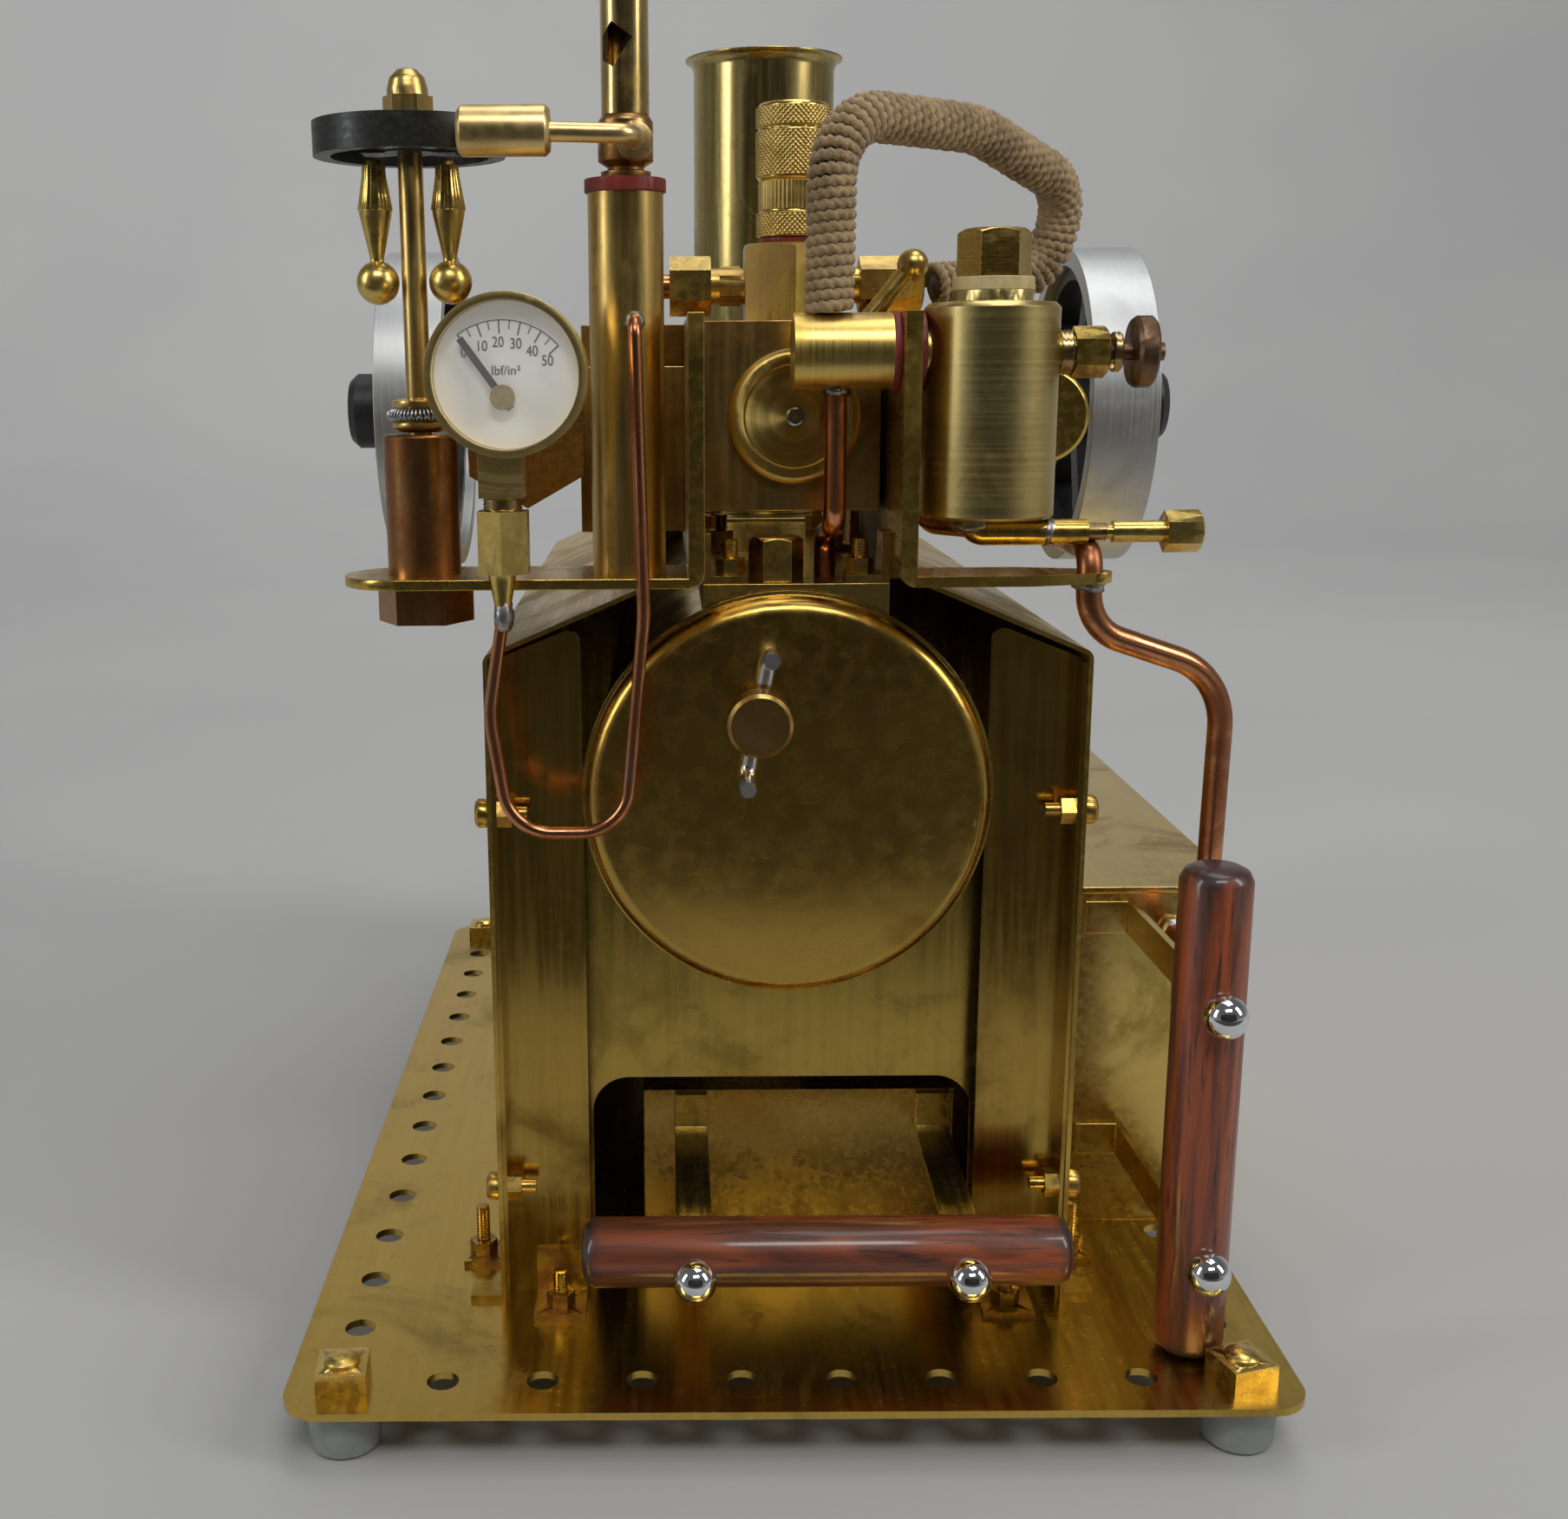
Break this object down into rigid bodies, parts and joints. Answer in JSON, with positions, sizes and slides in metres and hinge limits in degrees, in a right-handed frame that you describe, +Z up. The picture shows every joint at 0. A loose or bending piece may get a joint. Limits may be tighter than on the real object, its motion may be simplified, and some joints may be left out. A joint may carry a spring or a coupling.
{
  "type": "model steam engine",
  "caption": "Brass model steam engine: boiler in a firebox casing, oscillating cylinders and flywheels on its roof, governor, whistle, gauge, chimney and pull-out burner tray.",
  "frame": {"origin": "centre of the base plate, on the plane the rubber feet stand on", "axes": "+Z up; +Y from the boiler's front cap and gauge towards the chimney; +X to the right of someone facing the front, towards the condensate tank"},
  "size_m": [0.135, 0.1922, 0.191],
  "materials": {
    "plate_brass": "sheet brass, polished and lightly scratched",
    "aged_brass": "aged golden-olive sheet brass with fingerprints",
    "boiler_brass": "satin turned brass with a bright rim",
    "turned_brass": "turned and lacquered brass",
    "cylinder_bronze": "bronze-coloured brass",
    "post_bronze": "reddish bronze",
    "bright_steel": "bright turned steel",
    "belt_spring": "close-coiled spring wire",
    "rim_aluminium": "machined rim",
    "black_plastic": "black moulded",
    "brown_plastic": "brown moulded",
    "copper": "drawn copper tube with grey solder at the ends",
    "lagging": "cord wound round the pipe",
    "fibre": "pressed red fibre",
    "foot_rubber": "grey rubber",
    "varnished_wood": "turned, dark red-brown varnish",
    "chrome_nails": "domed and polished",
    "gauge_brass": "turned bezel",
    "dial_white": "printed dial",
    "gauge_glass": "flat clear window",
    "needle_black": "black"
  },
  "bodies": {
    "chassis": {"base_plate": "plate_brass", "boiler_end_caps": "boiler_brass", "boiler_shell": "boiler_brass", "casing_fasteners": "aged_brass", "casing_left": "aged_brass", "casing_right": "aged_brass", "chimney": "aged_brass", "copper_pipes": "copper", "corner_fasteners": "aged_brass", "drive_belt": "belt_spring", "end_panels": "aged_brass", "engine_fasteners": "aged_brass", "front_wings": "aged_brass", "gauge_case": "gauge_brass", "gauge_dial": "dial_white", "gauge_glass": "gauge_glass", "governor_post": "post_bronze", "lagged_pipe": "lagging", "lubricator_body": "turned_brass", "lubricator_fittings": "turned_brass", "regulator_body": "turned_brass", "rubber_feet": "foot_rubber", "saddle": "aged_brass", "safety_valve_body": "turned_brass", "shelf_left": "aged_brass", "shelf_right": "aged_brass", "side_plates": "aged_brass", "steam_blocks": "turned_brass", "steam_tee": "turned_brass", "tank": "aged_brass", "tank_handle": "varnished_wood", "tank_nails": "chrome_nails", "union_nuts": "turned_brass", "valve_disc": "turned_brass", "washers": "fibre", "whistle_column": "turned_brass", "whistle_tube": "turned_brass", "whistle_valve": "turned_brass"},
    "plug": {"level_plug": "turned_brass"},
    "burner": {"burner_tray": "aged_brass", "burner_handle": "varnished_wood", "burner_nails": "chrome_nails"},
    "crank": {"crankshaft": "bright_steel", "flywheel_rims": "rim_aluminium", "flywheel_spiders": "black_plastic"},
    "governor": {"governor_spindle": "turned_brass", "governor_wheel": "black_plastic"},
    "arm_left": {"governor_arm_left": "turned_brass"},
    "arm_right": {"governor_arm_right": "turned_brass"},
    "left_cylinder": {"cylinder_left": "cylinder_bronze"},
    "left_piston": {"piston_left": "bright_steel"},
    "right_cylinder": {"cylinder_right": "turned_brass"},
    "right_piston": {"piston_right": "bright_steel"},
    "throttle": {"regulator_lever": "turned_brass"},
    "whistle_arm": {"whistle_lever": "turned_brass"},
    "oil_cap": {"lubricator_cap": "turned_brass"},
    "needle_valve": {"needle_valve_wheel": "brown_plastic"},
    "drain_valve": {"drain_valve_knob": "turned_brass"},
    "safety_stem": {"safety_valve_stem": "turned_brass"},
    "pointer": {"gauge_needle": "needle_black"}
  },
  "joints": [
    {"name": "level_plug_turn", "type": "hinge", "parent": "chassis", "child": "plug", "pos_m": [-0.0039, -0.075, 0.0915], "axis": [0, 1, 0], "continuous": true},
    {"name": "burner_slide", "type": "slide", "parent": "chassis", "child": "burner", "axis": [0, -1, 0], "range_m": [0, 0.1]},
    {"name": "crank_spin", "type": "hinge", "parent": "chassis", "child": "crank", "pos_m": [0, 0.008, 0.1277], "axis": [1, 0, 0], "continuous": true},
    {"name": "governor_spin", "type": "hinge", "parent": "chassis", "child": "governor", "pos_m": [-0.0456, -0.0695, 0.1276], "axis": [0, 0, 1], "continuous": true},
    {"name": "arm_left_swing", "type": "hinge", "parent": "governor", "child": "arm_left", "pos_m": [-0.05, -0.0695, 0.1578], "axis": [0, 1, 0], "range_deg": [0, 50]},
    {"name": "arm_right_swing", "type": "hinge", "parent": "governor", "child": "arm_right", "pos_m": [-0.0412, -0.0695, 0.1578], "axis": [0, -1, 0], "range_deg": [0, 50]},
    {"name": "left_cylinder_rock", "type": "hinge", "parent": "chassis", "child": "left_cylinder", "pos_m": [-0.0342, -0.032, 0.1277], "axis": [1, 0, 0], "range_deg": [-19.8, 0]},
    {"name": "left_piston_slide", "type": "slide", "parent": "left_cylinder", "child": "left_piston", "axis": [0, 0.985, 0.1724], "range_m": [-0.0076, 0.0064]},
    {"name": "right_cylinder_rock", "type": "hinge", "parent": "chassis", "child": "right_cylinder", "pos_m": [0.0358, -0.032, 0.1277], "axis": [1, 0, 0], "range_deg": [-10, 10]},
    {"name": "right_piston_slide", "type": "slide", "parent": "right_cylinder", "child": "right_piston", "axis": [0, 1, 0], "range_m": [-0.014, 0]},
    {"name": "throttle_turn", "type": "hinge", "parent": "chassis", "child": "throttle", "pos_m": [0.0082, -0.0641, 0.1379], "axis": [0, 1, 0], "range_deg": [-80, 0]},
    {"name": "whistle_lever_lift", "type": "hinge", "parent": "chassis", "child": "whistle_arm", "pos_m": [-0.0186, -0.082, 0.1601], "axis": [0, -1, 0], "range_deg": [0, 12], "stiffness_Nm_per_rad": 0.02, "springref_deg": -2.86},
    {"name": "oil_cap_turn", "type": "hinge", "parent": "chassis", "child": "oil_cap", "pos_m": [0.0245, -0.07, 0.1446], "axis": [0, 0, 1], "continuous": true},
    {"name": "needle_valve_turn", "type": "hinge", "parent": "chassis", "child": "needle_valve", "pos_m": [0.038, -0.07, 0.1359], "axis": [1, 0, 0], "continuous": true},
    {"name": "drain_valve_turn", "type": "hinge", "parent": "chassis", "child": "drain_valve", "pos_m": [0.038, -0.0712, 0.1142], "axis": [1, 0, 0], "continuous": true},
    {"name": "safety_stem_lift", "type": "slide", "parent": "chassis", "child": "safety_stem", "axis": [0, 0, 1], "range_m": [0, 0.0008], "stiffness_N_per_m": 400, "springref_m": -0.001},
    {"name": "pointer_turn", "type": "hinge", "parent": "chassis", "child": "pointer", "pos_m": [-0.034, -0.0834, 0.1312], "axis": [0, 1, 0], "range_deg": [0, 84]}
  ],
  "couplings": [
    {"joint": "governor_spin", "follows": "crank_spin", "ratio": 1.5938},
    {"joint": "arm_right_swing", "follows": "arm_left_swing", "ratio": 1}
  ]
}
